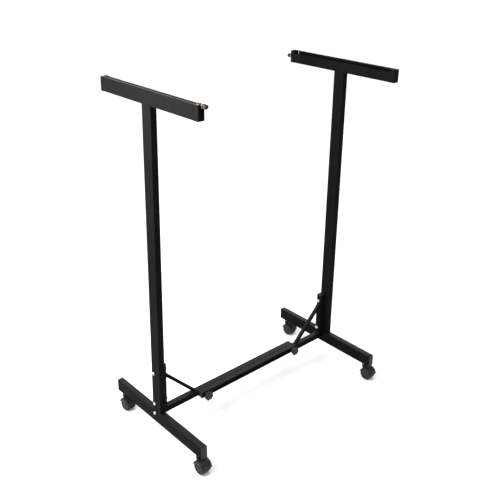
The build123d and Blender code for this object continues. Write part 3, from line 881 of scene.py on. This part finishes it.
# ---- welds -----------------------------------------------------------------
@dataclass
class Welds(Assembly):
    """The painted fillet welds where the tubes of a frame meet."""

    size: float = 2.4
    ripple: float = 2.1
    sink: float = 0.3
    inset: float = 2.2
    rows_per_ripple: int = 6
    taper: int = 10
    tip: float = 0.05
    arc_points: int = 9

    def bead(self, name: str, start: Vector, stop: Vector, first: Vector, second: Vector
             ) -> None:
        """Build one bead in the corner between two faces.

        point(s, t) = start + s (stop - start) + r(s) (first cos t + second sin t), where
        r rises and falls once each ripple and tapers to a tip at both ends.

        Args:
            name: the bead's name.
            start: where the corner line starts.
            stop: where it ends.
            first: the direction along one face, away from the corner.
            second: the direction along the other face.
        """
        length = (stop - start).length / MM
        s = np.linspace(0, 1, int(length / self.ripple * self.rows_per_ripple) + 2)
        wave = 0.9 + 0.1 * np.abs(np.sin(np.pi * s * length / self.ripple))
        reach = self.size * wave * np.clip(1 - np.abs(2 * s - 1) ** self.taper, self.tip, 1)
        t = np.linspace(0, np.pi / 2, self.arc_points)
        bow = 0.9 + 0.1 * np.sin(2 * t)
        a, b = np.array(first), np.array(second)
        edge_line = np.cos(t)[:, None] * a + np.sin(t)[:, None] * b
        arc = reach[:, None, None] * (bow[:, None] * edge_line)[None]
        under = -self.sink * (a + b)
        line = np.array(start)[None] + s[:, None] * np.array(stop - start)[None]
        low = np.broadcast_to(under, (len(s), 1, 3))
        heel_a = arc[:, :1] - self.sink * b
        heel_b = arc[:, -1:] - self.sink * a
        section = np.concatenate([low, heel_a, arc, heel_b], 1) * MM
        piece = make_piece(f"{self.side}_{name}", line[:, None] + section, smooth=math.pi / 3)
        self.fit(piece, f"{self.side}_frame", "frame_paint")

    def build(self) -> None:
        """Build the beads of one frame."""
        up, down = Vector((0, 0, 1)), Vector((0, 0, -1))
        inward = Vector((-self.sign, 0, 0))
        low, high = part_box(f"{self.side}_upright")
        inset = self.inset * MM
        for place, way in PLACES:
            y = low.y if way < 0 else high.y
            out = Vector((0, way, 0))
            for name, z, face in (("foot", low.z, up), ("rail", high.z, down)):
                self.bead(f"weld_{name}_{place}", Vector((low.x + inset, y, z)),
                          Vector((high.x - inset, y, z)), out, face)
        low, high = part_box(f"{self.side}_brace")
        bar_low, bar_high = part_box(f"{self.side}_half_bar")
        post_x = low.x if self.sign < 0 else high.x
        tip_x = high.x if self.sign < 0 else low.x
        slope = (inward + down).normalized()
        self.bead("weld_brace_post", Vector((post_x, low.y, high.z)),
                  Vector((post_x, high.y, high.z)), up, slope)
        self.bead("weld_brace_bar", Vector((tip_x, low.y, low.z)),
                  Vector((tip_x, high.y, low.z)), inward, -slope)
        self.bead("weld_bar_post", Vector((post_x, bar_low.y + inset, bar_high.z)),
                  Vector((post_x, bar_high.y - inset, bar_high.z)), inward, up)


# ---- studio ----------------------------------------------------------------
@dataclass
class Studio:
    """The floor, the soft lights and the camera."""

    lens: float = 51.67
    shift: tuple[float, float] = (0.0062, -0.1)
    azimuth: float = 42.43
    elevation: float = 21.35
    roll: float = 0.96
    spot: Triple = (-1.7371, -1.8665, 1.8636)
    sensor: float = 36.0
    furthest: float = 200.0
    horizon: float = 1.05
    sky: float = 0.3
    fade_from: float = 0.25
    fade_to: float = 0.65
    top: float = 2.6
    top_spread: float = 75.0
    key: float = 62.0
    key_spot: Triple = (-1.25, 0.35, 1.4)
    key_aim: Triple = (0.0, 0.1, 1.38)
    key_size: tuple[float, float] = (1.3, 0.9)
    back: float = 40.0
    back_spot: Triple = (3.2, 4.2, 1.9)
    back_aim: Triple = (0.0, 0.0, 1.2)
    back_size: tuple[float, float] = (6.0, 2.4)
    floor_half: float = 30.0

    def camera(self) -> None:
        """Place the camera; azimuth 0 looks along +Y, and elevation is how far it looks down."""
        data = bpy.data.cameras.new("camera")
        data.lens = self.lens
        data.sensor_width = self.sensor
        data.shift_x, data.shift_y = self.shift
        data.clip_end = self.furthest
        camera = bpy.data.objects.new("camera", data)
        a, e = math.radians(self.azimuth), math.radians(self.elevation)
        ahead = Vector((math.sin(a) * math.cos(e), math.cos(a) * math.cos(e), -math.sin(e)))
        turn = ahead.to_track_quat("-Z", "Y").to_matrix()
        turn = turn @ Matrix.Rotation(math.radians(self.roll), 3, "Z")
        camera.matrix_world = Matrix.Translation(self.spot) @ turn.to_4x4()
        bpy.context.scene.collection.objects.link(camera)
        bpy.context.scene.camera = camera

    def light(self, name: str, spot: Triple, aim: Triple, size: tuple[float, float],
              power: float) -> None:
        """Add one soft rectangular light.

        Args:
            name: the light's name.
            spot: where it hangs, in metres.
            aim: the point it looks at.
            size: its width and height.
            power: watts.
        """
        data = bpy.data.lights.new(name, "AREA")
        data.shape = "RECTANGLE"
        data.size, data.size_y = size
        data.energy = power
        lamp = bpy.data.objects.new(name, data)
        lamp.location = spot
        lamp.rotation_euler = (Vector(aim) - Vector(spot)).to_track_quat("-Z", "Y").to_euler()
        lamp.visible_camera = False
        bpy.context.scene.collection.objects.link(lamp)

    def overhead(self) -> None:
        """Add the broad light straight above, which keeps the floor evenly pale."""
        data = bpy.data.lights.new("overhead", "SUN")
        data.energy = self.top
        data.angle = math.radians(self.top_spread)
        lamp = bpy.data.objects.new("overhead", data)
        lamp.location = (0, 0, 5)
        bpy.context.scene.collection.objects.link(lamp)

    def floor(self) -> None:
        """Lay a plain pale floor that reaches past the view."""
        half = self.floor_half
        corners = np.array([(-half, -half, 0), (half, -half, 0), (half, half, 0),
                            (-half, half, 0)], float)
        mesh = bpy.data.meshes.new("floor")
        mesh.from_pydata(corners, [], [(0, 1, 2, 3)])
        floor = bpy.data.objects.new("floor", mesh)
        graph = Graph("floor_paint")
        graph.set(Base_Color=(0.86, 0.86, 0.86), Roughness=0.9)
        graph.shader.inputs["Specular IOR Level"].default_value = 0.1
        mesh.materials.append(graph.material)
        bpy.context.scene.collection.objects.link(floor)

    def build(self) -> None:
        """Make the world, white at the horizon and dimmer above, then all that is in it."""
        world = bpy.data.worlds.new("studio")
        world.use_nodes = True
        nodes, links = world.node_tree.nodes, world.node_tree.links
        sky = nodes["Background"].inputs
        sky["Color"].default_value = (1, 1, 1, 1)
        way = nodes.new("ShaderNodeTexCoord")
        parts = nodes.new("ShaderNodeSeparateXYZ")
        fade = nodes.new("ShaderNodeMapRange")
        fade.interpolation_type = "SMOOTHSTEP"
        limits = (self.fade_from, self.fade_to, self.horizon, self.sky)
        for number, value in enumerate(limits, 1):
            fade.inputs[number].default_value = value
        links.new(way.outputs["Generated"], parts.inputs[0])
        links.new(parts.outputs["Z"], fade.inputs[0])
        links.new(fade.outputs[0], sky["Strength"])
        bpy.context.scene.world = world
        bpy.context.scene.view_settings.view_transform = "Standard"
        self.floor()
        self.overhead()
        self.light("key", self.key_spot, self.key_aim, self.key_size, self.key)
        self.light("back", self.back_spot, self.back_aim, self.back_size, self.back)
        self.camera()


# ---- the stand -------------------------------------------------------------
def dress_nodes(frame: dict[str, Any], palette: Palette) -> None:
    """Give every CAD node its finish.

    Args:
        palette: the finishes.
    """
    for name, node in frame["nodes"].items():
        palette.dress(node, palette.slots[name])
        LOG.info("node %s in %s", name, palette.slots[name])


def main() -> None:
    """Load the frame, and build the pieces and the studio."""
    logging.basicConfig(level=logging.INFO, format="%(name)s: %(message)s")
    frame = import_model()
    palette = Palette(frame["record"])
    dress_nodes(frame, palette)
    for side, sign in SIDES:
        Hardware(side, sign, palette).build()
        Welds(side, sign, palette).build()
        for place, _ in PLACES:
            Caster(side, sign, palette, place).build()
    Studio().build()


if __name__ == "__main__":
    main()
